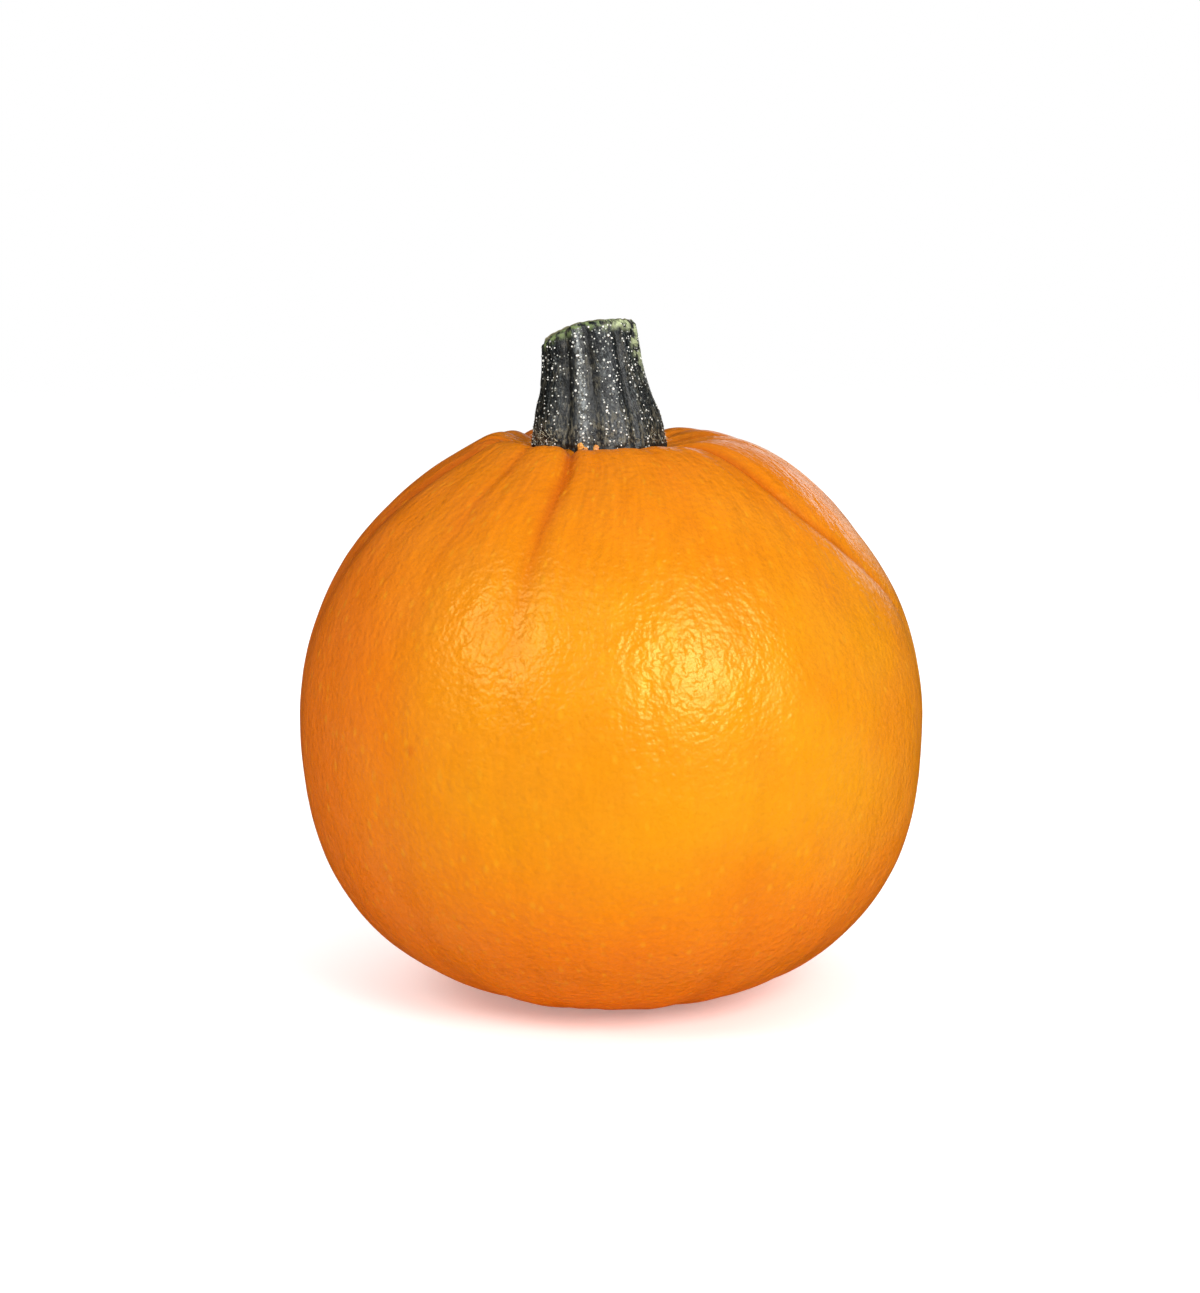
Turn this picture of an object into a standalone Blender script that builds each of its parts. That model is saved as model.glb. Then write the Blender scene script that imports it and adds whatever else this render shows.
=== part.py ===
"""A small round pumpkin with its cut stem, standing on the flat spot at its blossom end.

Run it in Blender: blender --background --python part.py
Metres, +Z up. The origin is on the resting plane under the middle of the fruit, and the side
that faces -Y is the front. A bearing is an angle in degrees round the upright axis, from 0 at
the front towards +X.
"""

import math

import bmesh
import bpy
from mathutils import Vector

# Driving dimensions of the fruit.
FRUIT_WIDTH = 0.166
SHOULDER_HEIGHT = 0.1556  # the rib crests round the stem, before the hollow is taken out
WAIST_HEIGHT = 0.0740  # where the fruit is widest
ROUNDNESS_ABOVE = 1.99  # exponent of the upright outline: 2 is an ellipse, more is squarer
ROUNDNESS_BELOW = 2.42
STEM_OFFSET = -0.0039  # the stem grows a little to the left of the fruit's middle
SHOULDER_OFFSET = 0.0022  # and the shoulders bulge a little to the right
TOP_TILT = -0.021  # how much higher the right shoulder stands per metre across

# The hollow that the stem stands in, and the one at the blossom end.
STEM_HOLLOW_DEPTH = 0.0088
STEM_HOLLOW_RADIUS = 0.0257
STEM_HOLLOW_EDGE = 4.7  # exponent of the hollow's slope: more is steeper
SEAT_RADIUS = 0.0174
SEAT_HEIGHT = 0.1466  # the flat spot under the stem, where the two grew together
BLOSSOM_HOLLOW_DEPTH = 0.0042
BLOSSOM_HOLLOW_RADIUS = 0.0085
FLAT_SPOT_CUT = 0.0016  # how much of the round underside the flat spot takes away

# Furrows between the ribs: bearing, depth at the shoulder and at the waist in millimetres, and
# how many degrees the furrow turns on its way up to the stem.
FURROWS = (
    (-19, 2.3, 0.35, 0),
    (-8, 0.8, 0.30, 0),
    (7, 0.4, 0.35, -5),
    (26, 0.7, 0.55, -8),
    (41, 0.4, 0.25, -9),
    (56, 0.7, 0.40, -14),
    (82, 3.2, 0.60, -33),
    (101, 0.8, 0.35, -20),
    (118, 2.6, 0.60, -10),
    (136, 0.8, 0.40, -5),
    (154, 2.4, 0.50, -2),
    (171, 0.6, 0.35, 0),
    (188, 2.8, 0.60, 3),
    (206, 0.8, 0.40, 5),
    (224, 2.4, 0.50, 4),
    (243, 0.7, 0.35, 3),
    (262, 2.2, 0.45, 6),
    (279, 3.0, 0.65, 6),
    (298, 0.5, 0.30, 4),
    (317, 1.1, 0.50, 1),
)
FURROW_WIDTH = 6.0  # degrees from a furrow's bottom to where it is about a third as deep
FURROW_SOFTNESS = 0.45  # 0 is a sharp fold, 1 a round valley
FOOT_DEPTH = 1.5  # furrows near the flat spot, as a share of their depth at the waist

# Driving dimensions of the stem.
STEM_TOP_RADIUS = 0.0122
STEM_FLARE = 0.0055  # how much wider the foot is than the top
STEM_FLARE_HEIGHT = 0.0130
STEM_HEIGHT = 0.0335
STEM_LEAN = -0.0034  # how far its top stands to the left of its foot
STEM_RIBS = 10
STEM_RIB_DEPTH = 0.0011
CUT_DROP = 0.0061  # the cut slopes down this much towards the left
CUT_CURVE = 3.0
CUT_BACK_DROP = 0.0026  # and this much towards the back
CUT_DISH = 0.0012  # the pith in the middle has dried below the rim
JOINT_GAP = 0.0003  # between the stem's foot and the seat

# How finely the shapes are divided.
FRUIT_COLUMNS = 96
FRUIT_ROWS = 34
STEM_COLUMNS = 60
STEM_ROWS = 12

RIND = (0.86, 0.28, 0.008, 1.0)
STEM_GREEN = (0.035, 0.042, 0.034, 1.0)


def smooth_step(value):
    """0 below 0, 1 above 1, with a smooth rise between."""
    value = min(max(value, 0.0), 1.0)
    return value * value * (3 - 2 * value)


def furrow_shape(degrees_off):
    """1 at a furrow's bottom, falling to 0 on both sides of it."""
    off = abs((degrees_off + 180) % 360 - 180) / FURROW_WIDTH
    return math.exp(FURROW_SOFTNESS - math.hypot(off, FURROW_SOFTNESS))


def furrow_depth(bearing, turn):
    """How far the furrows lie below the rib crests, in metres, at the polar angle turn."""
    lean = smooth_step((math.cos(turn) - 0.25) / 0.68)
    above_waist = max(math.cos(turn), 0.0)
    below_waist = max(-math.cos(turn), 0.0)
    seat_fade = smooth_step((math.sin(turn) - 0.13) / 0.16)
    depth = 0.0
    for centre, shoulder, waist, twist in FURROWS:
        near = furrow_shape(bearing - centre - twist * lean)
        foot = waist * (1 + (FOOT_DEPTH - 1) * below_waist)
        depth += near * (foot + (shoulder - waist) * above_waist**1.8)
    return 0.001 * depth * seat_fade


def girth(bearing):
    """The fruit isn't quite round: its radius at this bearing, as a share of the mean."""
    b = math.radians(bearing)
    return 1 + 0.0064 * math.cos(2 * b + 1.1) + 0.0108 * math.cos(3 * b - 2.15)


def middle_shift(radius, up):
    """How far to the right the middle of the outline is, at this radius and height."""
    shoulder = SHOULDER_OFFSET * smooth_step((up - 0.55) / 0.45)
    away = smooth_step((radius - SEAT_RADIUS) / 0.028)
    return shoulder * away + STEM_OFFSET * (1 - away) * (up > 0)


def fruit_point(bearing, turn):
    """A point on the rind. turn goes from 0 at the stem's axis to pi at the blossom end."""
    across, up = math.sin(turn), math.cos(turn)
    roundness = ROUNDNESS_ABOVE if up > 0 else ROUNDNESS_BELOW
    radius = 0.5 * FRUIT_WIDTH * across ** (2 / roundness)
    reach = SHOULDER_HEIGHT - WAIST_HEIGHT if up > 0 else WAIST_HEIGHT + FLAT_SPOT_CUT
    height = WAIST_HEIGHT + math.copysign(reach * abs(up) ** (2 / roundness), up)
    depth = furrow_depth(bearing, turn)
    radius = radius * girth(bearing) - depth * across
    height -= depth * up
    if up > 0:
        height -= STEM_HOLLOW_DEPTH * math.exp(-((radius / STEM_HOLLOW_RADIUS) ** STEM_HOLLOW_EDGE))
    b = math.radians(bearing)
    x, y = radius * math.sin(b), -radius * math.cos(b)
    height += TOP_TILT * x * smooth_step(up) * smooth_step(radius / 0.03 - 0.6)
    return Vector((x + middle_shift(radius, up), y, max(height, 0.0)))


def ring_between(mesh, lower, upper):
    """Faces between two rings of the same number of vertices."""
    count = len(lower)
    for i in range(count):
        j = (i + 1) % count
        mesh.faces.new((lower[i], lower[j], upper[j], upper[i]))


def fan(mesh, ring, centre):
    """Closes a ring with triangles that meet at one point."""
    middle = mesh.verts.new(centre)
    for i in range(len(ring)):
        mesh.faces.new((ring[i], ring[(i + 1) % len(ring)], middle))


def object_from(name, mesh, colour, roughness):
    """Turns the bmesh into a named, smooth-shaded object with its own material."""
    bmesh.ops.recalc_face_normals(mesh, faces=mesh.faces)
    data = bpy.data.meshes.new(name)
    mesh.to_mesh(data)
    mesh.free()
    data.shade_smooth()
    data.set_sharp_from_angle(angle=math.radians(50))
    material = bpy.data.materials.new(name)
    material.use_nodes = True
    shader = material.node_tree.nodes["Principled BSDF"]
    shader.inputs["Base Color"].default_value = colour
    shader.inputs["Roughness"].default_value = roughness
    material.diffuse_color = colour
    data.materials.append(material)
    made = bpy.data.objects.new(name, data)
    bpy.context.scene.collection.objects.link(made)
    return made


def seat_turn():
    """The polar angle at which the fruit's outline has the seat's radius."""
    return math.asin((2 * SEAT_RADIUS / FRUIT_WIDTH) ** (ROUNDNESS_ABOVE / 2))


def seat_ring_point(bearing):
    """A point on the rim of the flat spot under the stem."""
    b = math.radians(bearing)
    x = STEM_OFFSET + SEAT_RADIUS * math.sin(b)
    return Vector((x, -SEAT_RADIUS * math.cos(b), SEAT_HEIGHT))


def flat_spot_turn():
    """The polar angle just inside the outer edge of the flat spot."""
    below = (WAIST_HEIGHT / (WAIST_HEIGHT + FLAT_SPOT_CUT)) ** ROUNDNESS_BELOW
    return math.pi - math.asin(math.sqrt(1 - below)) * 0.9


def make_fruit():
    """The fruit: one closed solid with its ribs, its stem seat and its blossom-end hollow."""
    mesh = bmesh.new()
    bearings = [360 * i / FRUIT_COLUMNS for i in range(FRUIT_COLUMNS)]
    rings = [[mesh.verts.new(seat_ring_point(b)) for b in bearings]]
    first, last = seat_turn(), flat_spot_turn()
    for row in range(1, FRUIT_ROWS + 1):
        turn = first + (last - first) * row / FRUIT_ROWS
        rings.append([mesh.verts.new(fruit_point(b, turn)) for b in bearings])
    for share in (1.25, 0.9, 0.55):
        radius = BLOSSOM_HOLLOW_RADIUS * share
        inside = smooth_step((1.25 - share) / 1.25)
        height = BLOSSOM_HOLLOW_DEPTH * inside
        rings.append(
            [
                mesh.verts.new(
                    (radius * math.sin(math.radians(b)), -radius * math.cos(math.radians(b)), height)
                )
                for b in bearings
            ]
        )
    for upper, lower in zip(rings, rings[1:]):
        ring_between(mesh, lower, upper)
    fan(mesh, rings[0], (STEM_OFFSET, 0, SEAT_HEIGHT))
    fan(mesh, rings[-1], (0, 0, BLOSSOM_HOLLOW_DEPTH))
    return object_from("fruit", mesh, RIND, 0.38)


def stem_radius(height, bearing):
    """The stem's radius: a flared foot, and ribs that run all the way up."""
    flare = STEM_FLARE / (1 + (height / STEM_FLARE_HEIGHT) ** 2.6)
    ribs = math.cos(math.radians(STEM_RIBS * bearing))
    return STEM_TOP_RADIUS + flare - STEM_RIB_DEPTH * (0.5 - 0.5 * ribs)


def stem_axis(height):
    """Where the stem's middle is at this height above the seat."""
    rise = height / STEM_HEIGHT
    return Vector((STEM_OFFSET + STEM_LEAN * rise**1.4, 0.0012 * rise, SEAT_HEIGHT + height))


def cut_height(across, back):
    """Height of the slanting cut above the seat; across is -1 at its left side and 1 at its right,
    and back is -1 at the front and 1 at the back."""
    left = ((1 - across) / 2) ** CUT_CURVE
    return STEM_HEIGHT - CUT_DROP * left - CUT_BACK_DROP * (1 + back) / 2


def stem_point(share, bearing):
    """A point on the stem's side; share is 0 at its foot and 1 at the cut."""
    b = math.radians(bearing)
    top = cut_height(math.sin(b), -math.cos(b))
    height = JOINT_GAP + (top - JOINT_GAP) * share
    radius = stem_radius(height, bearing)
    return stem_axis(height) + Vector((radius * math.sin(b), -radius * math.cos(b), 0))


def make_stem():
    """The stem: one closed solid, flared at its foot and cut across at a slant."""
    mesh = bmesh.new()
    bearings = [360 * i / STEM_COLUMNS for i in range(STEM_COLUMNS)]
    rings = []
    for row in range(STEM_ROWS + 1):
        share = row / STEM_ROWS
        rings.append([mesh.verts.new(stem_point(share, b)) for b in bearings])
    for lower, upper in zip(rings, rings[1:]):
        ring_between(mesh, lower, upper)
    centre = stem_axis(STEM_HEIGHT)
    for share in (0.72, 0.4):
        inner = []
        for rim in rings[STEM_ROWS]:
            point = centre.lerp(rim.co, share)
            across = (point.x - centre.x) / STEM_TOP_RADIUS
            back = (point.y - centre.y) / STEM_TOP_RADIUS
            dish = CUT_DISH * smooth_step((1 - share) * 2.5)
            point.z = SEAT_HEIGHT + cut_height(across, back) - dish
            inner.append(mesh.verts.new(point))
        ring_between(mesh, rings[-1], inner)
        rings.append(inner)
    middle = Vector((centre.x, centre.y, SEAT_HEIGHT + cut_height(0, 0) - CUT_DISH))
    fan(mesh, rings[-1], middle)
    fan(mesh, rings[0], stem_axis(JOINT_GAP))
    return object_from("stem", mesh, STEM_GREEN, 0.6)


def centre_on_origin(objects):
    """Moves the objects together so that the fruit stands over the origin."""
    corners = [vertex.co for vertex in objects[0].data.vertices]
    middle_x = 0.5 * (min(c.x for c in corners) + max(c.x for c in corners))
    middle_y = 0.5 * (min(c.y for c in corners) + max(c.y for c in corners))
    for each in objects:
        each.location = (-middle_x, -middle_y, 0)


def main():
    for old in list(bpy.data.objects):
        bpy.data.objects.remove(old)
    centre_on_origin([make_fruit(), make_stem()])


main()
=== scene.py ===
"""A small round pumpkin in a white studio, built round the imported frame.

The rind and the stem are fine meshes in the places of the two CAD nodes, with the same outlines
and more detail: furrows, pores, puckers round the stem, grooves, warts, fibres and the rough cut.
Metres, +Z up, the front faces -Y. A bearing is in degrees round the upright axis, 0 at the
front and growing towards +X.
"""

import math
import random

import bmesh
import bpy
import numpy as np
from mathutils import Matrix, Vector, noise


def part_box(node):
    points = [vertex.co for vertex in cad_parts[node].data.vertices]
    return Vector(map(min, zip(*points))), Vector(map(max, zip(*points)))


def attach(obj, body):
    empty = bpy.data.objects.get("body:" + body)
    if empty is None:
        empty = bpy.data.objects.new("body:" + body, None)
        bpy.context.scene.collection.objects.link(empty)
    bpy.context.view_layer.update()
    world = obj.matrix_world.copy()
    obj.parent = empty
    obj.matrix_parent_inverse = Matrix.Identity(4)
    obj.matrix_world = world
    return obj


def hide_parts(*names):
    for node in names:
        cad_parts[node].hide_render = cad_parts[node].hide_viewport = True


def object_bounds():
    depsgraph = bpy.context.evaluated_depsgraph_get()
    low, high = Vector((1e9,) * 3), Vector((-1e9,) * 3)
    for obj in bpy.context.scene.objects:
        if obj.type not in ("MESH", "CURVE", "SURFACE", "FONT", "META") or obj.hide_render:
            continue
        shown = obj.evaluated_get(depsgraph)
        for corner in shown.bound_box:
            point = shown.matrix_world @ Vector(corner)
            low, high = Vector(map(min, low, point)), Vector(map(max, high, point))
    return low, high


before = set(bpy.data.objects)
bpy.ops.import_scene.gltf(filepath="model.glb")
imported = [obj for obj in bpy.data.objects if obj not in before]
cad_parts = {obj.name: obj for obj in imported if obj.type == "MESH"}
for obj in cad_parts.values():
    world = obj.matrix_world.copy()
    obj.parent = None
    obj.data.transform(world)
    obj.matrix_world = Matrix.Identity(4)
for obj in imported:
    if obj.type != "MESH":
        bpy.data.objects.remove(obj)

CAD_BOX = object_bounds()

# The fruit's outline, as the CAD node has it.
FRUIT_WIDTH = 0.166
SHOULDER_HEIGHT = 0.1556
WAIST_HEIGHT = 0.0740
ROUNDNESS_ABOVE = 1.99
ROUNDNESS_BELOW = 2.42
STEM_OFFSET = -0.0039
SHOULDER_OFFSET = 0.0022
TOP_TILT = -0.021
STEM_HOLLOW_DEPTH = 0.0088
STEM_HOLLOW_RADIUS = 0.0257
STEM_HOLLOW_EDGE = 4.7
SEAT_RADIUS = 0.0174
SEAT_HEIGHT = 0.1466
BLOSSOM_HOLLOW_DEPTH = 0.0042
BLOSSOM_HOLLOW_RADIUS = 0.0085
FLAT_SPOT_CUT = 0.0016

# Furrows: bearing, depth at the shoulder and at the waist in millimetres, turn towards the stem
# in degrees, and width as a share of FURROW_WIDTH.
FURROWS = (
    (-19, 2.5, 0.30, 0, 0.50),
    (-8, 0.8, 0.30, 0, 0.8),
    (7, 0.4, 0.35, -5, 1.0),
    (26, 0.7, 0.60, -8, 0.8),
    (41, 0.4, 0.25, -9, 1.0),
    (56, 0.8, 0.45, -14, 1.0),
    (82, 2.2, 0.65, -33, 0.42),
    (101, 0.8, 0.35, -20, 1.0),
    (118, 2.6, 0.60, -10, 0.9),
    (136, 0.8, 0.40, -5, 1.0),
    (154, 2.4, 0.50, -2, 0.9),
    (171, 0.6, 0.35, 0, 1.0),
    (188, 2.8, 0.60, 3, 0.9),
    (206, 0.8, 0.40, 5, 1.0),
    (224, 2.4, 0.50, 4, 0.9),
    (243, 0.7, 0.35, 3, 1.0),
    (262, 2.2, 0.45, 6, 0.9),
    (279, 3.0, 0.65, 6, 0.9),
    (298, 0.5, 0.35, 4, 1.0),
    (317, 1.3, 0.55, 1, 0.8),
)
FURROW_WIDTH = 6.0

# How deep a furrow is at the foot, as a multiple of its depth at the waist.
FOOT_DEPTH = 1.5

# The stem, as the CAD node has it.
STEM_TOP_RADIUS = 0.0122
STEM_FLARE = 0.0055
STEM_FLARE_HEIGHT = 0.0130
STEM_HEIGHT = 0.0335
STEM_LEAN = -0.0034
CUT_DROP = 0.0061
CUT_CURVE = 3.0
CUT_BACK_DROP = 0.0026

# Where the stem's foot ends, from the seat: it goes into the rind, so that no gap shows.
FOOT_BELOW = -0.0010

# The stem's noise is laid out on an upright tube of this radius, so that it follows the bearing.
GRAIN_RADIUS = 0.014

# The stem's grooves: bearing and depth in millimetres.
STEM_GROOVES = (
    (-68, 0.9),
    (-30, 1.5),
    (-2, 1.5),
    (35, 0.8),
    (64, 0.9),
    (97, 1.3),
    (131, 1.1),
    (166, 1.4),
    (203, 1.1),
    (237, 1.2),
    (265, 0.9),
)
GROOVE_WIDTH = 7.0
GROOVE_SOFTNESS = 0.5

# The pale ridges between the grooves, partly the stem's own pale skin and partly a painted
# # highlight that is strongest at -13: bearing and strength.
STEM_RIDGES = (
    (-50, 0.25),
    (-13, 1.0),
    (12, 0.3),
    (22, 0.4),
    (50, 0.25),
    (80, 0.5),
    (114, 0.5),
    (148, 0.7),
    (184, 0.7),
    (220, 0.5),
    (251, 0.7),
    (278, 0.4),
)
RIDGE_WIDTH = 4.5
RIDGE_SOFTNESS = 0.6

# The bearings that lines of warts run along, and the number of warts anywhere else.
WART_LINES = (
    -76, -60, -50, -43, -18, -13, -8, 8, 14, 24, 45, 50, 56, 74, 82, 112, 118, 148, 152,
    180, 188, 216, 222, 250, 255, 277, -16, -11, 20, 28,
)
LOOSE_WARTS = 110
WART_SIZES = (0.00011, 0.00031)
DOME_SIDES = 8

# Bits of torn rind at the stem's foot: bearing, height above the seat and size.
CRUMBS = (
    (-15.5, 0.0009, 0.00085),
    (-2.5, 0.0004, 0.00075),
    (-11.5, 0.0002, 0.00055),
    (170, 0.0006, 0.0007),
)

# The bearings that the fibres at the stem's foot gather round.
FIBRE_BEARINGS = (-62, -48, 52, 64, 78, 150, 215, 290)
FIBRES = 90
FIBRE_LENGTHS = (0.0008, 0.0022)
FIBRE_RADIUS = 0.00006
FIBRE_STEPS = 4
FIBRE_SIDES = 4

# How fine the meshes are: points in a row round the piece, and rows from end to end.
FRUIT_COLUMNS = 416
FRUIT_ROWS = 226
STEM_COLUMNS = 320
STEM_ROWS = 130

# Colours, as linear red, green and blue.
ORANGE = (0.520, 0.172, 0.0005)
YELLOW_ORANGE = (0.525, 0.198, 0.0006)
# Painted shade: the deeper orange on the left, the right, behind, near the stem and low down.
SHADED_ORANGE = (0.570, 0.104, 0.0004)
# Painted bounce light from the floor: the brighter orange at the very bottom.
BOUNCE_LIT_ORANGE = (0.840, 0.172, 0.0010)
# Painted shade in the furrows.
FURROW_SHADE_ORANGE = (0.400, 0.070, 0.0005)
SPECKLE = (0.580, 0.260, 0.006)
BLEMISH = (0.400, 0.070, 0.001)
INK = (0.0015, 0.0024, 0.0026)
SLATE = (0.006, 0.010, 0.012)
PALE_SLATE = (0.046, 0.056, 0.055)
RIDGE_GREY = (0.235, 0.255, 0.255)
FIBRE_BROWN = (0.145, 0.130, 0.084)
DARK_GREEN = (0.150, 0.200, 0.070)
PALE_GREEN = (0.400, 0.450, 0.240)
CUT_BROWN = (0.180, 0.150, 0.075)
CUT_STRAW = (0.480, 0.430, 0.250)
SPECK_GREY = (0.420, 0.420, 0.360)
WART_GREY = (0.280, 0.290, 0.260)
WART_WHITE = (0.780, 0.780, 0.720)
CRUMB_RED = (0.520, 0.130, 0.004)
CRUMB_YELLOW = (0.740, 0.360, 0.040)
FIBRE_DARK = (0.340, 0.280, 0.170)
FIBRE_PALE = (0.700, 0.660, 0.480)
FLOOR_GREY = (0.900, 0.900, 0.900)
FLOOR_WHITE = (0.920, 0.920, 0.920)

# The rind's reflections are tinted, which keeps its colour saturated.
GLOSS_TINT = (1.0, 0.78, 0.27, 1)

# The camera looks from the front, at the point this far from the middle of the CAD box.
CAMERA_ELEVATION = 10
CAMERA_DISTANCE = 0.8575
CAMERA_LENS = 90
CAMERA_AIM = (-0.0030, 0, 0.0024)

# Lamps: bearing, elevation, width and height in metres, power in watts, and whether the lamp
# adds to the highlights and nothing else.
LAMPS = {
    "key": (30, 27, 0.50, 0.50, 10.5, False),
    "key_shine": (30, 27, 0.42, 0.46, 16.0, True),
    "fill": (-45, 38, 0.36, 0.36, 3.2, False),
    "fill_shine": (-42, 31, 0.42, 0.48, 8.0, True),
    "rear": (160, 12, 0.70, 0.24, 1.2, False),
}
LAMP_DISTANCE = 1.2

# The floor fades out between these distances from its middle, and glows a little, so that it
# ends in white.
FLOOR_RADIUS = 2.0
FLOOR_SIDES = 96
FLOOR_FADE = (0.5, 1.8)
FLOOR_GLOW = 0.22


def smooth_step(value):
    """0 below 0, 1 above 1, with a smooth rise between."""
    value = np.clip(value, 0.0, 1.0)
    return value * value * (3 - 2 * value)


def grooves(bearing, centre, width, softness):
    """1 along a groove's bottom, falling to 0 on both sides of it."""
    off = np.abs((bearing - centre + 180) % 360 - 180) / width
    return np.exp(softness - np.hypot(off, softness))


def noise_at(points, size, seed, octaves=2):
    """Smooth noise of about -1 to 1 at each point, with features of this size in metres."""
    shift = Vector((17.3 * seed, -9.1 * seed, 5.7 * seed))
    flat = points.reshape(-1, 3) / size
    values = [noise.fractal(Vector(p) + shift, 1.0, 2.0, octaves) for p in flat]
    return np.array(values).reshape(points.shape[:-1])


def xyz(x, y, z):
    """One array of points from arrays of coordinates."""
    return np.stack(np.broadcast_arrays(x, y, z), axis=-1)


# ---------------------------------------------------------------- the fruit's shape


def furrow_depth(bearing, turn):
    """How far the furrows lie below the rib crests, in metres."""
    up = np.cos(turn)
    lean = smooth_step((up - 0.25) / 0.68)
    above_waist = np.maximum(up, 0)
    below_waist = np.maximum(-up, 0)
    seat_fade = smooth_step((np.sin(turn) - 0.13) / 0.16)
    softness = 0.6 - 0.4 * smooth_step((up - 0.3) / 0.5)
    depth = 0.0
    for centre, shoulder, waist, twist, width in FURROWS:
        near = grooves(bearing, centre + twist * lean, FURROW_WIDTH * width, softness)
        foot = waist * (1 + (FOOT_DEPTH - 1) * below_waist)
        depth = depth + near * (foot + (shoulder - waist) * above_waist**1.8)
    return 0.001 * depth * seat_fade


def girth(bearing):
    """The fruit isn't quite round: its radius at this bearing, as a share of the mean."""
    b = np.radians(bearing)
    return 1 + 0.0064 * np.cos(2 * b + 1.1) + 0.0108 * np.cos(3 * b - 2.15)


def middle_shift(radius, up):
    """How far to the right the middle of the outline is, at this radius and height."""
    shoulder = SHOULDER_OFFSET * smooth_step((up - 0.55) / 0.45)
    away = smooth_step((radius - SEAT_RADIUS) / 0.028)
    return shoulder * away + STEM_OFFSET * (1 - away) * (up > 0)


def fruit_points(bearing, turn, proud):
    """Points on the rind. proud is how far each stands out of the smooth outline."""
    across, up = np.sin(turn), np.cos(turn)
    roundness = np.where(up > 0, ROUNDNESS_ABOVE, ROUNDNESS_BELOW)
    radius = 0.5 * FRUIT_WIDTH * across ** (2 / roundness)
    reach = np.where(up > 0, SHOULDER_HEIGHT - WAIST_HEIGHT, WAIST_HEIGHT + FLAT_SPOT_CUT)
    height = WAIST_HEIGHT + np.sign(up) * reach * np.abs(up) ** (2 / roundness)
    radius = radius * girth(bearing) + proud * across
    height = height + proud * up
    hollow = STEM_HOLLOW_DEPTH * np.exp(-((radius / STEM_HOLLOW_RADIUS) ** STEM_HOLLOW_EDGE))
    height = height - np.where(up > 0, hollow, 0)
    b = np.radians(bearing)
    x, y = radius * np.sin(b), -radius * np.cos(b)
    height = height + TOP_TILT * x * smooth_step(up) * smooth_step(radius / 0.03 - 0.6)
    return xyz(x + middle_shift(radius, up), y, np.maximum(height, 0))


def rind_relief(bearing, turn):
    """The small unevenness of the rind, in metres: soft dents, lengthwise grain and puckers."""
    smooth = fruit_points(bearing, turn, 0 * turn)
    b = np.radians(bearing)
    along = turn * 0.5 * FRUIT_WIDTH
    grain = xyz(0.07 * np.sin(b), 0.07 * np.cos(b), along * 0.22)
    relief = 0.00020 * noise_at(smooth, 0.026, 1)
    relief += 0.00007 * noise_at(smooth, 0.0085, 2)
    relief += 0.00009 * noise_at(grain, 0.0075, 3)
    from_stem = np.hypot(smooth[..., 0] - STEM_OFFSET, smooth[..., 1])
    near_stem = smooth_step((0.034 - from_stem) / 0.016) * (turn < 1)
    relief += 0.00055 * near_stem * noise_at(xyz(np.sin(b), np.cos(b), 0 * turn), 0.11, 4)
    return relief


def ring(centre_x, radius, height, bearings):
    """A level ring of points."""
    b = np.radians(bearings)
    return xyz(centre_x + radius * np.sin(b), -radius * np.cos(b), height)


def outline_turns():
    """The polar angles of the rows, from the stem's seat to the flat spot."""
    first = math.asin((2 * SEAT_RADIUS / FRUIT_WIDTH) ** (ROUNDNESS_ABOVE / 2))
    below = (WAIST_HEIGHT / (WAIST_HEIGHT + FLAT_SPOT_CUT)) ** ROUNDNESS_BELOW
    last = math.pi - math.asin(math.sqrt(1 - below)) * 0.9
    return np.linspace(first, last, FRUIT_ROWS)


def add_object(name, data):
    """A new object with this data, in the scene."""
    made = bpy.data.objects.new(name, data)
    bpy.context.scene.collection.objects.link(made)
    return made


def mesh_object(name, points, faces):
    """A new smooth object from points and faces."""
    data = bpy.data.meshes.new(name)
    data.from_pydata(points, [], faces)
    data.shade_smooth()
    return add_object(name, data)


def grid_object(name, rows, middle_first, middle_last):
    """A closed mesh from rows of points, all of one length, with a point at each end."""
    count, columns = rows.shape[:2]
    points = np.concatenate([rows.reshape(-1, 3), [middle_first], [middle_last]])
    low = np.arange(count - 1)[:, None] * columns + np.arange(columns)[None, :]
    right = np.arange(count - 1)[:, None] * columns + (np.arange(columns)[None, :] + 1) % columns
    quads = np.stack([low, right, right + columns, low + columns], axis=-1).reshape(-1, 4)
    first = np.arange(columns)
    after = (first + 1) % columns
    last_row = (count - 1) * columns
    faces = quads.tolist()
    faces += np.stack([after, first, 0 * first + len(points) - 2], axis=-1).tolist()
    end = np.stack([first + last_row, after + last_row, 0 * first + len(points) - 1], axis=-1)
    faces += end.tolist()
    data = bpy.data.meshes.new(name)
    data.from_pydata(points.tolist(), [], faces)
    data.validate()
    data.shade_smooth()
    return add_object(name, data)


def face_outwards(piece):
    """Turns the mesh's faces round if they face in."""
    data = piece.data
    data.calc_loop_triangles()
    co = np.empty(len(data.vertices) * 3)
    data.vertices.foreach_get("co", co)
    index = np.empty(len(data.loop_triangles) * 3, int)
    data.loop_triangles.foreach_get("vertices", index)
    corner = co.reshape(-1, 3)[index.reshape(-1, 3)]
    if np.linalg.det(corner).sum() < 0:
        data.flip_normals()


def add_attribute(piece, name, values):
    """Stores one number or one vector for each vertex."""
    kind = "FLOAT_VECTOR" if values.ndim == 2 else "FLOAT"
    layer = piece.data.attributes.new(name, kind, "POINT")
    field = "vector" if values.ndim == 2 else "value"
    layer.data.foreach_set(field, values.astype(np.float32).ravel())


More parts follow.
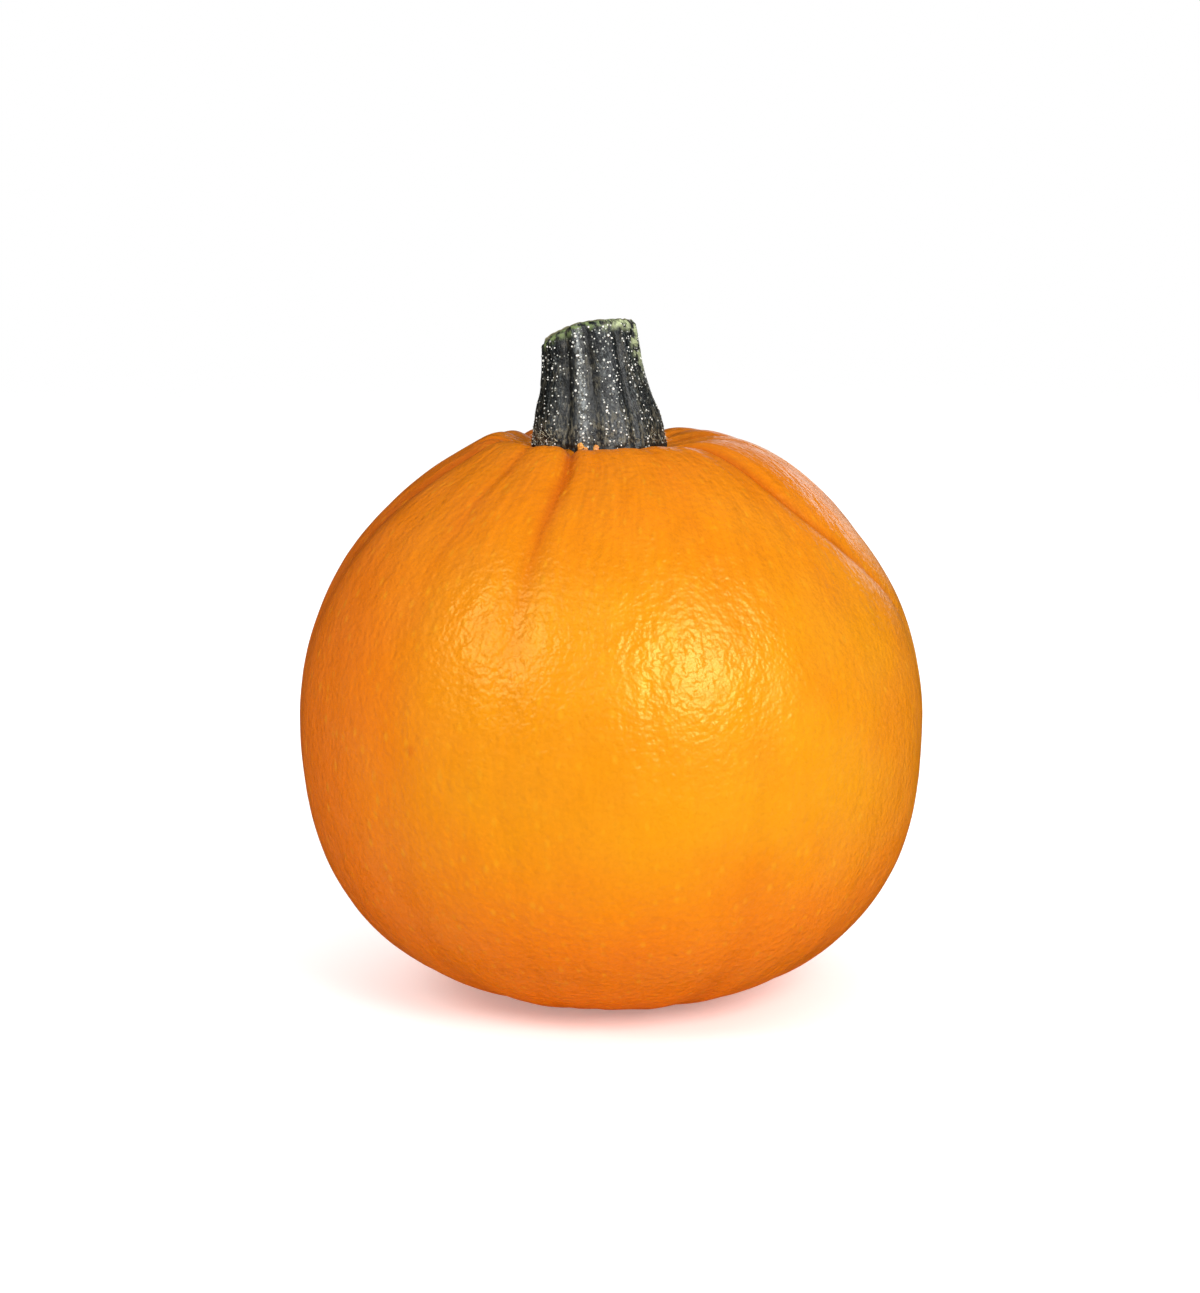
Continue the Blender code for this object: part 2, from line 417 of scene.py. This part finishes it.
def make_rind():
    """The fruit's skin, closed, from the seat under the stem to the blossom scar."""
    bearings = np.arange(FRUIT_COLUMNS) * 360 / FRUIT_COLUMNS
    turns = outline_turns()
    bearing, turn = np.meshgrid(bearings, turns)
    depth = furrow_depth(bearing, turn)
    body = fruit_points(bearing, turn, rind_relief(bearing, turn) - depth)
    seat = [ring(STEM_OFFSET, SEAT_RADIUS * s, SEAT_HEIGHT, bearings) for s in (0.5, 0.8, 0.92)]
    blossom = []
    for share in (1.25, 1.05, 0.9, 0.78, 0.66, 0.54, 0.42, 0.30, 0.18):
        inside = smooth_step((1.25 - share) / 1.25)
        wrinkle = 0.00022 * np.sin(np.radians(bearings * 15)) * inside * share
        height = BLOSSOM_HOLLOW_DEPTH * inside + wrinkle
        blossom.append(ring(0, BLOSSOM_HOLLOW_RADIUS * share, height, bearings))
    rows = np.concatenate([seat, body, blossom])
    top = (STEM_OFFSET, 0, SEAT_HEIGHT)
    bottom = (0, 0, BLOSSOM_HOLLOW_DEPTH - 0.0006)
    rind = grid_object("rind", rows, top, bottom)
    face_outwards(rind)
    seat_pad = len(seat) * FRUIT_COLUMNS
    blossom_pad = len(blossom) * FRUIT_COLUMNS + 2
    b = np.radians(bearing)
    grain = xyz(0.08 * np.sin(b), 0.08 * np.cos(b), turn * 0.08).reshape(-1, 3)
    grain = np.concatenate([np.zeros((seat_pad, 3)), grain, np.zeros((blossom_pad, 3))])
    add_attribute(rind, "grain", grain)
    furrow = np.pad(depth.ravel() / 0.001, (seat_pad, blossom_pad))
    add_attribute(rind, "furrow", furrow)
    return rind


# ---------------------------------------------------------------- the stem's shape


def groove_depth(bearing):
    """How deep the stem's grooves are at this bearing, in millimetres."""
    cut = 0.0
    for centre, depth in STEM_GROOVES:
        cut = cut + depth * grooves(bearing, centre, GROOVE_WIDTH, GROOVE_SOFTNESS)
    return cut


def stem_radius(height, bearing):
    """The stem's radius: a flared foot, and grooves that run all the way up."""
    flare = STEM_FLARE / (1 + (np.maximum(height, 0) / STEM_FLARE_HEIGHT) ** 2.6)
    return STEM_TOP_RADIUS + 0.0003 + flare - 0.001 * groove_depth(bearing)


def stem_axis(height):
    """Where the stem's middle is at this height above the seat."""
    rise = np.maximum(height, 0) / STEM_HEIGHT
    return xyz(STEM_OFFSET + STEM_LEAN * rise**1.4, 0.0012 * rise, SEAT_HEIGHT + height)


def cut_height(across, back):
    """Height of the slanting cut above the seat. across is -1 at its left side and 1 at its
    right, and back is -1 at the front and 1 at the back."""
    left = ((1 - across) / 2) ** CUT_CURVE
    return STEM_HEIGHT - CUT_DROP * left - CUT_BACK_DROP * (1 + back) / 2


def stem_points(share, bearing):
    """Points on the stem's side; share is 0 at its foot and 1 at the cut."""
    b = np.radians(bearing)
    round_about = xyz(np.sin(b), -np.cos(b), 0 * b)
    chips = 0.00035 * noise_at(round_about, 0.22, 11, 3)
    top = cut_height(np.sin(b), -np.cos(b)) + chips - 0.0003
    height = FOOT_BELOW + (top - FOOT_BELOW) * share
    radius = stem_radius(height, bearing)
    surface = xyz(GRAIN_RADIUS * np.sin(b), GRAIN_RADIUS * np.cos(b), height)
    radius = radius + 0.00022 * noise_at(surface * (1, 1, 0.16), 0.0016, 12)
    radius = radius + 0.00030 * noise_at(surface, 0.0060, 13)
    radius = radius - 0.0007 * smooth_step((share - 0.975) / 0.025)
    foot = smooth_step((0.0030 - height) / 0.0030)
    radius = radius + 0.0005 * foot * noise_at(surface, 0.0022, 14)
    return stem_axis(height) + xyz(radius * np.sin(b), -radius * np.cos(b), 0 * b)


def make_stem():
    """The stem's woody skin, closed, with its rough cut face."""
    bearings = np.arange(STEM_COLUMNS) * 360 / STEM_COLUMNS
    shares = np.linspace(0, 1, STEM_ROWS)
    bearing, share = np.meshgrid(bearings, shares)
    side = stem_points(share, bearing)
    centre = stem_axis(np.array(STEM_HEIGHT))
    rim = side[-1]
    face = []
    for part in (0.97, 0.93, 0.88, 0.8, 0.7, 0.6, 0.5, 0.4, 0.3, 0.2, 0.1):
        inner = centre + (rim - centre) * part
        across = np.clip((inner[:, 0] - centre[0]) / STEM_TOP_RADIUS, -1, 1)
        back = (inner[:, 1] - centre[1]) / STEM_TOP_RADIUS
        dish = 0.0013 * smooth_step((1 - part) * 2.2)
        rough = 0.00022 * noise_at(inner, 0.0018, 15, 3)
        inner[:, 2] = SEAT_HEIGHT + cut_height(across, back) - dish + rough
        face.append(inner)
    rows = np.concatenate([side, face])
    middle = face[-1].mean(axis=0)
    foot = stem_axis(np.array(0.0)) + (0, 0, FOOT_BELOW)
    stem = grid_object("stem_skin", rows, foot, middle)
    face_outwards(stem)
    add = len(face) * STEM_COLUMNS
    b = np.radians(bearing)
    heights = side[..., 2] - SEAT_HEIGHT
    grain = xyz(GRAIN_RADIUS * np.sin(b), GRAIN_RADIUS * np.cos(b), heights).reshape(-1, 3)
    face_grain = np.concatenate(face) - (0, 0, SEAT_HEIGHT)
    grain = np.concatenate([grain, face_grain, [(0, 0, 0)], [middle - (0, 0, SEAT_HEIGHT)]])
    add_attribute(stem, "grain", grain)
    add_attribute(stem, "groove", np.pad(groove_depth(bearing).ravel(), (0, add + 2)))
    add_attribute(stem, "share", np.concatenate([share.ravel(), np.full(add, 1.0), [0], [1]]))
    on_face = np.concatenate([np.zeros(share.size), np.ones(add), [0], [1]])
    add_attribute(stem, "cut_face", on_face)
    ridge = 0.0
    for position, strength in STEM_RIDGES:
        ridge = ridge + strength * grooves(bearing, position, RIDGE_WIDTH, RIDGE_SOFTNESS)
    add_attribute(stem, "ridge", np.pad(ridge.ravel(), (0, add + 2)))
    return stem


def dome(centre, outward, size, squash):
    """Points and faces of a small low dome."""
    points, faces = [], []
    side = outward.orthogonal().normalized()
    other = outward.cross(side)
    rings = ((0.0, 1.0), (0.45, 0.85), (0.8, 0.5))
    for rise, wide in rings:
        for i in range(DOME_SIDES):
            a = math.tau * i / DOME_SIDES
            flat = side * math.cos(a) + other * math.sin(a)
            points.append(centre + flat * size * wide + outward * size * squash * rise)
    points.append(centre + outward * size * squash)
    points.append(centre - outward * size * 0.6)
    second, third, top = DOME_SIDES, 2 * DOME_SIDES, 3 * DOME_SIDES
    for i in range(DOME_SIDES):
        j = (i + 1) % DOME_SIDES
        faces.append((i, j, second + j, second + i))
        faces.append((second + i, second + j, third + j, third + i))
        faces.append((third + i, third + j, top))
        faces.append((j, i, top + 1))
    return points, faces


def make_warts():
    """Small pale corky warts, in lines up the stem and anywhere between them."""
    rng = random.Random(4)
    spots = []
    for line in WART_LINES:
        share = rng.uniform(0.03, 0.08)
        while share < 0.97:
            spots.append((line + rng.gauss(0, 1.8), share))
            share += rng.uniform(0.015, 0.085)
    for _ in range(LOOSE_WARTS):
        spots.append((rng.uniform(0, 360), rng.uniform(0.05, 0.97)))
    bearing = np.array([s[0] for s in spots])
    share = np.array([s[1] for s in spots])
    here = stem_points(share, bearing)
    up = stem_points(share + 0.01, bearing)
    round_about = stem_points(share, bearing + 1)
    points, faces = [], []
    for place, above, beside in zip(here, up, round_about):
        outward = Vector(beside - place).cross(Vector(above - place)).normalized()
        size = rng.uniform(*WART_SIZES)
        if rng.random() < 0.15:
            size *= 1.3
        more, sides = dome(Vector(place), outward, size, rng.uniform(0.6, 1.0))
        faces += [tuple(i + len(points) for i in side) for side in sides]
        points += more
    return mesh_object("stem_warts", points, faces)


def make_crumbs():
    """Bits of torn rind in the notches of the stem's foot."""
    mesh = bmesh.new()
    for bearing, height, size in CRUMBS:
        share = np.array([(height - FOOT_BELOW) / (STEM_HEIGHT - FOOT_BELOW)])
        place = Vector(stem_points(share, np.array([float(bearing)]))[0])
        made = bmesh.ops.create_icosphere(mesh, subdivisions=4, radius=1.0)
        for vertex in made["verts"]:
            where = vertex.co * 1.3 + Vector((bearing, 0, 0))
            rough = 1 + 0.35 * noise.fractal(where, 1.0, 2.0, 3)
            oval = Vector((vertex.co.x, vertex.co.y * 0.7, vertex.co.z * 1.25))
            vertex.co = place + oval * size * rough
    data = bpy.data.meshes.new("rind_crumbs")
    mesh.to_mesh(data)
    mesh.free()
    data.shade_smooth()
    return add_object("rind_crumbs", data)


def make_fibres():
    """Short pale fibres that stand off the stem's foot."""
    rng = random.Random(9)
    points, faces = [], []
    for _ in range(FIBRES):
        bearing = rng.choice(FIBRE_BEARINGS) + rng.gauss(0, 8)
        share = rng.uniform(0.04, 0.16)
        root = Vector(stem_points(np.array([share]), np.array([bearing]))[0])
        b = math.radians(bearing)
        outward = Vector((math.sin(b), -math.cos(b), 0))
        sideways = Vector((math.cos(b), math.sin(b), 0)) * rng.uniform(-1, 1)
        heading = (outward * 0.5 + sideways + Vector((0, 0, rng.uniform(-0.8, 1.0)))).normalized()
        curl = Vector((rng.uniform(-1, 1), rng.uniform(-1, 1), rng.uniform(-1, 1))) * 0.5
        length = rng.uniform(*FIBRE_LENGTHS)
        beside = sideways.orthogonal().normalized()
        start = len(points)
        for step in range(FIBRE_STEPS + 1):
            along = step / FIBRE_STEPS
            middle = root + heading * length * along + curl * length * along * along * 0.5
            thick = FIBRE_RADIUS * (1 - 0.8 * along)
            for corner in range(FIBRE_SIDES):
                a = math.tau * corner / FIBRE_SIDES
                points.append(middle + (beside * math.cos(a) + outward * math.sin(a)) * thick)
        for step in range(FIBRE_STEPS):
            first = start + step * FIBRE_SIDES
            for corner in range(FIBRE_SIDES):
                here, after = first + corner, first + (corner + 1) % FIBRE_SIDES
                faces.append((here, after, after + FIBRE_SIDES, here + FIBRE_SIDES))
        root_end = range(start, start + FIBRE_SIDES)
        tip = range(len(points) - FIBRE_SIDES, len(points))
        faces.append(tuple(reversed(root_end)))
        faces.append(tuple(tip))
    return mesh_object("stem_fibres", points, faces)


# ---------------------------------------------------------------- materials


def new_material(name):
    """A material with a Principled shader, and its node tree."""
    material = bpy.data.materials.new(name)
    material.use_nodes = True
    tree = material.node_tree
    return material, tree, tree.nodes["Principled BSDF"]


def put(tree, socket, value):
    """Sets an input, or links an output to it."""
    if isinstance(value, bpy.types.NodeSocket):
        tree.links.new(value, socket)
    else:
        socket.default_value = value


def attribute(tree, name, vector=False):
    """A value that is stored on the mesh."""
    node = tree.nodes.new("ShaderNodeAttribute")
    node.attribute_name = name
    return node.outputs["Vector" if vector else "Fac"]


def object_position(tree):
    """The place on the object, in metres."""
    return tree.nodes.new("ShaderNodeTexCoord").outputs["Object"]


def axis_of(tree, vector, name):
    """The X, Y or Z of a vector."""
    node = tree.nodes.new("ShaderNodeSeparateXYZ")
    put(tree, node.inputs[0], vector)
    return node.outputs[name]


def scaled(tree, vector, scale):
    """The vector times a scale for each axis."""
    node = tree.nodes.new("ShaderNodeMapping")
    node.vector_type = "POINT"
    put(tree, node.inputs["Vector"], vector)
    node.inputs["Scale"].default_value = scale
    return node.outputs[0]


def noise_node(tree, vector, size, detail=2.0, roughness=0.5):
    """Noise with features of this size in metres, from 0 to 1."""
    node = tree.nodes.new("ShaderNodeTexNoise")
    put(tree, node.inputs["Vector"], vector)
    node.inputs["Scale"].default_value = 1 / size
    node.inputs["Detail"].default_value = detail
    node.inputs["Roughness"].default_value = roughness
    return node.outputs["Fac"]


def cells(tree, vector, size, output="Distance"):
    """A Voronoi pattern with cells of this size in metres."""
    node = tree.nodes.new("ShaderNodeTexVoronoi")
    put(tree, node.inputs["Vector"], vector)
    node.inputs["Scale"].default_value = 1 / size
    return node.outputs[output]


def rescale(tree, value, low, high, new_low=0.0, new_high=1.0, smooth=True):
    """Maps low..high to new_low..new_high, and holds the ends."""
    node = tree.nodes.new("ShaderNodeMapRange")
    node.interpolation_type = "SMOOTHSTEP" if smooth else "LINEAR"
    put(tree, node.inputs["Value"], value)
    node.inputs["From Min"].default_value = low
    node.inputs["From Max"].default_value = high
    node.inputs["To Min"].default_value = new_low
    node.inputs["To Max"].default_value = new_high
    return node.outputs[0]


def calc(tree, operation, first, second):
    """One sum of two values."""
    node = tree.nodes.new("ShaderNodeMath")
    node.operation = operation
    put(tree, node.inputs[0], first)
    put(tree, node.inputs[1], second)
    return node.outputs[0]


def times(tree, first, second):
    """The product of two values."""
    return calc(tree, "MULTIPLY", first, second)


def blend(tree, share, first, second):
    """Mixes two colours; a share of 1 gives the second."""
    node = tree.nodes.new("ShaderNodeMix")
    node.data_type = "RGBA"
    put(tree, node.inputs["Factor"], share)
    for name, colour in (("A", first), ("B", second)):
        linked = isinstance(colour, bpy.types.NodeSocket)
        put(tree, node.inputs[name], colour if linked else (*colour, 1))
    return node.outputs["Result"]


def bump(tree, height, distance, before=None):
    """A bump of this many metres, on top of an earlier one."""
    node = tree.nodes.new("ShaderNodeBump")
    node.inputs["Distance"].default_value = distance
    put(tree, node.inputs["Height"], height)
    if before is not None:
        put(tree, node.inputs["Normal"], before)
    return node.outputs[0]


def rind_material():
    """Waxy orange skin: pores, lengthwise grain and pale speckles. Painted shade makes it deeper
    in the furrows and redder on the left, a little on the right, behind, near the stem and low
    down, and painted bounce light from the floor makes it brighter at the very bottom."""
    material, tree, shader = new_material("rind")
    place = object_position(tree)
    grain = attribute(tree, "grain", vector=True)
    furrow = attribute(tree, "furrow")
    x, z = axis_of(tree, place, "X"), axis_of(tree, place, "Z")

    patches = noise_node(tree, place, 0.034, 3.0, 0.55)
    colour = blend(tree, rescale(tree, patches, 0.35, 0.68), ORANGE, YELLOW_ORANGE)
    # Painted shade: deeper orange on the left, a little on the right, behind, near the stem and
    # low down.
    left = rescale(tree, x, -0.018, -0.080)
    colour = blend(tree, times(tree, left, 0.85), colour, SHADED_ORANGE)
    right = rescale(tree, x, 0.040, 0.082)
    colour = blend(tree, times(tree, right, 0.15), colour, SHADED_ORANGE)
    shade_behind = rescale(tree, axis_of(tree, place, "Y"), 0.005, 0.070)
    colour = blend(tree, times(tree, shade_behind, 0.6), colour, SHADED_ORANGE)
    high = rescale(tree, z, 0.105, 0.148)
    colour = blend(tree, times(tree, high, 0.45), colour, SHADED_ORANGE)
    low = rescale(tree, z, 0.070, 0.020)
    colour = blend(tree, times(tree, low, 0.75), colour, SHADED_ORANGE)
    # Painted bounce light from the floor: brighter orange at the very bottom.
    foot = rescale(tree, z, 0.020, 0.001)
    colour = blend(tree, times(tree, foot, 0.85), colour, BOUNCE_LIT_ORANGE)

    streaks = noise_node(tree, scaled(tree, grain, (1, 1, 0.16)), 0.0022, 3.0, 0.6)
    streak = rescale(tree, streaks, 0.30, 0.72, -1.0, 1.0, smooth=False)
    reach = rescale(tree, z, 0.080, 0.146, 0.025, 0.085)
    shade = calc(tree, "ADD", 1.0, times(tree, streak, reach))
    fine = noise_node(tree, place, 0.0012, 2.0, 0.6)
    shade = times(tree, shade, rescale(tree, fine, 0.3, 0.7, 0.96, 1.04, smooth=False))
    # Painted shade: deeper orange along the furrows' bottoms.
    deep = rescale(tree, furrow, 0.30, 2.1)
    colour = blend(tree, times(tree, deep, 0.8), colour, FURROW_SHADE_ORANGE)

    stretched = scaled(tree, grain, (1, 1, 0.62))
    dots = cells(tree, stretched, 0.0026)
    which = cells(tree, stretched, 0.0026, output="Color")
    chosen = rescale(tree, axis_of(tree, which, "X"), 0.30, 0.95)
    dot = times(tree, rescale(tree, dots, 0.42, 0.08), chosen)
    colour = blend(tree, times(tree, dot, 0.34), colour, SPECKLE)

    marks = cells(tree, place, 0.016)
    pick = cells(tree, place, 0.016, output="Color")
    rare = rescale(tree, axis_of(tree, pick, "Y"), 0.80, 0.95)
    mark = times(tree, rescale(tree, marks, 0.16, 0.05), rare)
    colour = blend(tree, times(tree, mark, 0.6), colour, BLEMISH)

    node = tree.nodes.new("ShaderNodeHueSaturation")
    put(tree, node.inputs["Color"], colour)
    put(tree, node.inputs["Value"], shade)
    put(tree, shader.inputs["Base Color"], node.outputs[0])

    pores = noise_node(tree, place, 0.0017, 1.0, 0.5)
    relief = bump(tree, pores, 0.00036)
    small = noise_node(tree, place, 0.0008, 1.0)
    relief = bump(tree, small, 0.00006, relief)
    waves = noise_node(tree, scaled(tree, grain, (1, 1, 0.6)), 0.0052, 2.0)
    relief = bump(tree, waves, 0.0005, relief)
    put(tree, shader.inputs["Normal"], relief)
    rough = rescale(tree, noise_node(tree, place, 0.012, 3.0), 0.3, 0.7, 0.31, 0.41)
    put(tree, shader.inputs["Roughness"], rough)
    shader.inputs["Specular IOR Level"].default_value = 0.3
    shader.inputs["Specular Tint"].default_value = GLOSS_TINT
    return material


def stem_material():
    """Dry near-black skin: grey ridges that are partly a painted highlight, grooves darkened by
    painted shade, a foot that is partly dark skin and partly painted shade, brown fibres low
    down, a torn green rim and a pale fibrous cut."""
    material, tree, shader = new_material("stem_skin")
    grain = attribute(tree, "grain", vector=True)
    groove = attribute(tree, "groove")
    share = attribute(tree, "share")
    cut_face = attribute(tree, "cut_face")
    ridge = attribute(tree, "ridge")

    streaks = noise_node(tree, scaled(tree, grain, (1, 1, 0.16)), 0.0009, 4.0, 0.7)
    mottle = noise_node(tree, scaled(tree, grain, (1, 1, 0.6)), 0.0007, 4.0, 0.75)
    colour = blend(tree, rescale(tree, streaks, 0.40, 0.68), INK, SLATE)
    colour = blend(tree, rescale(tree, mottle, 0.53, 0.66), colour, PALE_SLATE)
    patches = noise_node(tree, scaled(tree, grain, (1, 1, 0.35)), 0.0050, 3.0, 0.6)
    # The pale grey ridges: partly the stem's own pale skin, partly a painted highlight, strongest
    # at -13.
    broken = rescale(tree, mottle, 0.42, 0.58, 0.05, 1.0)
    pale_and_sheen_share = rescale(tree, ridge, 0.25, 1.0, 0.0, 0.9)
    pale_ridge_and_sheen = times(tree, pale_and_sheen_share, broken)
    colour = blend(tree, pale_ridge_and_sheen, colour, RIDGE_GREY)
    # Painted shade: the grooves darkened to near black.
    groove_shade = rescale(tree, groove, 0.45, 1.25)
    colour = blend(tree, times(tree, groove_shade, 0.8), colour, INK)
    threads = noise_node(tree, scaled(tree, grain, (1, 1, 0.35)), 0.0006, 4.0, 0.7)
    fibrous = rescale(tree, threads, 0.46, 0.62)
    low = rescale(tree, share, 0.50, 0.12, 0.0, 0.75)
    where = times(tree, rescale(tree, patches, 0.40, 0.60), 0.45)
    where = calc(tree, "MAXIMUM", where, low)
    where = times(tree, where, calc(tree, "SUBTRACT", 1.0, pale_ridge_and_sheen))
    colour = blend(tree, times(tree, where, fibrous), colour, FIBRE_BROWN)

    # Darker at the foot: partly the stem's own dark skin, partly painted shade where it meets the
    # rind.
    foot = rescale(tree, share, 0.09, 0.02)
    colour = blend(tree, times(tree, foot, 0.85), colour, INK)
    edge = rescale(tree, share, 0.90, 0.985)
    right = axis_of(tree, grain, "X")
    green = blend(tree, rescale(tree, right, 0.001, 0.010), DARK_GREEN, PALE_GREEN)
    torn = rescale(tree, noise_node(tree, grain, 0.0022, 3.0), 0.42, 0.58)
    far_right = rescale(tree, right, 0.0108, 0.0132)
    side = times(tree, far_right, rescale(tree, share, 0.50, 0.85))
    edge = calc(tree, "MAXIMUM", edge, times(tree, side, 0.8))
    colour = blend(tree, times(tree, edge, torn), colour, green)
    fibres = noise_node(tree, grain, 0.0010, 4.0, 0.7)
    face = blend(tree, rescale(tree, fibres, 0.35, 0.65), CUT_BROWN, CUT_STRAW)
    colour = blend(tree, cut_face, colour, face)

    stretched = scaled(tree, grain, (1, 1, 0.8))
    speck = rescale(tree, cells(tree, stretched, 0.0011), 0.24, 0.10)
    which = cells(tree, stretched, 0.0011, output="Color")
    speck = times(tree, speck, rescale(tree, axis_of(tree, which, "X"), 0.55, 0.8))
    speck = times(tree, speck, calc(tree, "SUBTRACT", 1.0, cut_face))
    colour = blend(tree, times(tree, speck, 0.7), colour, SPECK_GREY)
    put(tree, shader.inputs["Base Color"], colour)

    relief = bump(tree, streaks, 0.00035)
    relief = bump(tree, noise_node(tree, grain, 0.0007, 3.0), 0.00015, relief)
    put(tree, shader.inputs["Normal"], relief)
    rough = rescale(tree, mottle, 0.35, 0.65, 0.50, 0.36)
    put(tree, shader.inputs["Roughness"], rough)
    shader.inputs["Specular IOR Level"].default_value = 0.26
    return material


def wart_material():
    """Pale, corky and matt, some greyer than others."""
    material, tree, shader = new_material("stem_warts")
    place = object_position(tree)
    tint = noise_node(tree, place, 0.0015, 1.0)
    colour = blend(tree, rescale(tree, tint, 0.35, 0.65), WART_GREY, WART_WHITE)
    put(tree, shader.inputs["Base Color"], colour)
    fine = noise_node(tree, place, 0.0002, 2.0)
    put(tree, shader.inputs["Normal"], bump(tree, fine, 0.00004))
    shader.inputs["Roughness"].default_value = 0.6
    return material


def crumb_material():
    """Torn rind: moist orange flesh."""
    material, tree, shader = new_material("rind_crumbs")
    place = object_position(tree)
    tint = noise_node(tree, place, 0.0004, 3.0)
    colour = blend(tree, rescale(tree, tint, 0.35, 0.65), CRUMB_RED, CRUMB_YELLOW)
    put(tree, shader.inputs["Base Color"], colour)
    put(tree, shader.inputs["Normal"], bump(tree, tint, 0.00012))
    shader.inputs["Roughness"].default_value = 0.45
    return material


def fibre_material():
    """Dry pale straw."""
    material, tree, shader = new_material("stem_fibres")
    tint = noise_node(tree, object_position(tree), 0.0008, 2.0)
    colour = blend(tree, rescale(tree, tint, 0.35, 0.65), FIBRE_DARK, FIBRE_PALE)
    put(tree, shader.inputs["Base Color"], colour)
    shader.inputs["Roughness"].default_value = 0.7
    return material


def stage_material():
    """Plain pale floor that fades into the white surroundings."""
    material, tree, shader = new_material("studio_floor")
    place = object_position(tree)
    tone = noise_node(tree, place, 0.3, 2.0)
    colour = blend(tree, tone, FLOOR_GREY, FLOOR_WHITE)
    put(tree, shader.inputs["Base Color"], colour)
    shader.inputs["Roughness"].default_value = 0.9
    shader.inputs["Specular IOR Level"].default_value = 0.1
    shader.inputs["Emission Color"].default_value = (1, 1, 1, 1)
    shader.inputs["Emission Strength"].default_value = FLOOR_GLOW
    distance = tree.nodes.new("ShaderNodeVectorMath")
    distance.operation = "LENGTH"
    put(tree, distance.inputs[0], place)
    fade = rescale(tree, distance.outputs["Value"], *FLOOR_FADE, 1.0, 0.0)
    put(tree, shader.inputs["Alpha"], fade)
    return material


# ---------------------------------------------------------------- studio


def make_floor():
    """A large round floor at the height that the pumpkin stands on."""
    points = [(0, 0, 0)]
    for i in range(FLOOR_SIDES):
        a = math.tau * i / FLOOR_SIDES
        points.append((FLOOR_RADIUS * math.cos(a), FLOOR_RADIUS * math.sin(a), 0))
    faces = [(0, i + 1, (i + 1) % FLOOR_SIDES + 1) for i in range(FLOOR_SIDES)]
    data = bpy.data.meshes.new("studio_floor")
    data.from_pydata(points, [], faces)
    floor = add_object("studio_floor", data)
    floor.location.z = CAD_BOX[0][2]
    floor.data.materials.append(stage_material())
    floor.visible_glossy = False


def from_target(target, bearing, elevation, distance):
    """The point at this bearing, elevation and distance from the target."""
    b, e = math.radians(bearing), math.radians(elevation)
    flat = math.cos(e)
    away = Vector((flat * math.sin(b), -flat * math.cos(b), math.sin(e)))
    return target + away * distance


def aim(thing, target):
    """Turns a lamp or a camera to face the target."""
    thing.rotation_euler = (target - thing.location).to_track_quat("-Z", "Y").to_euler()


def softbox(name, target, bearing, elevation, width, height, power, shine_only):
    """A rectangular area light that faces the target. The camera can't see it."""
    light = bpy.data.lights.new(name, "AREA")
    light.shape = "RECTANGLE"
    light.size, light.size_y = width, height
    light.energy = power
    lamp = add_object(name, light)
    lamp.location = from_target(target, bearing, elevation, LAMP_DISTANCE)
    aim(lamp, target)
    lamp.visible_camera = False
    lamp.visible_diffuse = not shine_only


def make_studio():
    """White surroundings, the lamps, the camera and the floor.

    The surroundings light the pumpkin, but are left out of its reflections: they would lay a
    white haze over the rind. The floor is left out of them too."""
    low, high = Vector(CAD_BOX[0]), Vector(CAD_BOX[1])
    middle = (low + high) / 2
    scene = bpy.context.scene
    world = bpy.data.worlds.new("studio")
    world.use_nodes = True
    background = world.node_tree.nodes["Background"]
    background.inputs["Color"].default_value = (1, 1, 1, 1)
    background.inputs["Strength"].default_value = 1.0
    world.cycles.sampling_method = "NONE"
    world.cycles_visibility.glossy = False
    scene.world = world
    for name, values in LAMPS.items():
        softbox(name, middle, *values)
    lens = bpy.data.cameras.new("camera")
    lens.lens = CAMERA_LENS
    lens.sensor_width = 36
    camera = add_object("camera", lens)
    target = middle + Vector(CAMERA_AIM)
    camera.location = from_target(target, 0, CAMERA_ELEVATION, CAMERA_DISTANCE)
    aim(camera, target)
    scene.camera = camera
    scene.view_settings.view_transform = "Standard"
    make_floor()


def settle(piece, node, offset):
    """Places a piece over its CAD node's frame, and lets it ride on the one body."""
    piece.data.transform(offset)
    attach(piece, "root")
    if node:
        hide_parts(node)


def frame_offset(rind):
    """The move that puts the fruit's middle where the CAD node has it."""
    low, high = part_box("fruit")
    co = np.empty(len(rind.data.vertices) * 3)
    rind.data.vertices.foreach_get("co", co)
    co = co.reshape(-1, 3)
    middle = (co.min(axis=0) + co.max(axis=0)) / 2
    wanted = (low + high) / 2
    return Matrix.Translation((wanted.x - middle[0], wanted.y - middle[1], low.z))


def main():
    """Makes the pieces, puts them in the CAD nodes' places, and makes the studio."""
    rind, stem, warts = make_rind(), make_stem(), make_warts()
    crumbs, fibres = make_crumbs(), make_fibres()
    offset = frame_offset(rind)
    settle(rind, "fruit", offset)
    settle(stem, "stem", offset)
    for piece in (warts, crumbs, fibres):
        settle(piece, None, offset)
    rind.data.materials.append(rind_material())
    stem.data.materials.append(stem_material())
    warts.data.materials.append(wart_material())
    crumbs.data.materials.append(crumb_material())
    fibres.data.materials.append(fibre_material())
    make_studio()


main()
